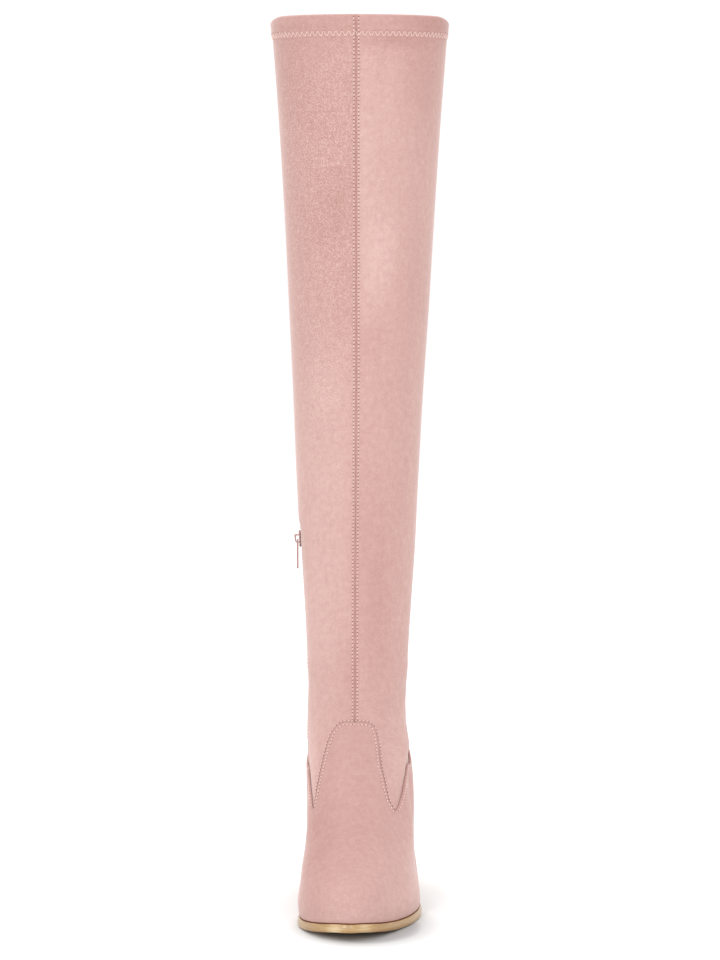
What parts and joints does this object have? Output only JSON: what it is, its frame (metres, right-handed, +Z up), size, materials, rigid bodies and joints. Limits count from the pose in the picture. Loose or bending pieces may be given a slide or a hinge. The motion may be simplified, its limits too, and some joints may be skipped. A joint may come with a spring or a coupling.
{
  "type": "thigh high boot",
  "caption": "Left thigh high boot in pale pink suede-look stretch, worn shape, round toe, block heel and short inner side zip.",
  "frame": {"origin": "on the floor, under the centre of the heel tip", "axes": "+Z up, toe to -Y, outer side of the foot +X, zip on the inner side -X"},
  "size_m": [0.1357, 0.2589, 0.6681],
  "materials": {
    "sole_edge": "tan, varnished like stacked wood",
    "heel_stack": "stacked look, varnished",
    "heel_rubber": "matte",
    "insole": "smooth, matte",
    "foot_suede": "fine napped microfibre",
    "shaft_suede": "fine napped stretch microfibre",
    "zip_tape": "woven tape with moulded teeth",
    "zip_metal": "rose lacquer, satin"
  },
  "bodies": {
    "boot": {"outsole": "sole_edge", "heel": "heel_stack", "heel_tip": "heel_rubber", "insole": "insole", "upper": "foot_suede", "shaft": "shaft_suede", "zip_chain": "zip_tape", "zip_slider": "zip_metal"},
    "pull": {"zip_pull": "zip_metal"}
  },
  "joints": [
    {"name": "pull_swing", "type": "hinge", "parent": "boot", "child": "pull", "pos_m": [-0.04571, -0.01016, 0.26843], "axis": [0, 1, 0], "range_deg": [-4, 165]}
  ]
}
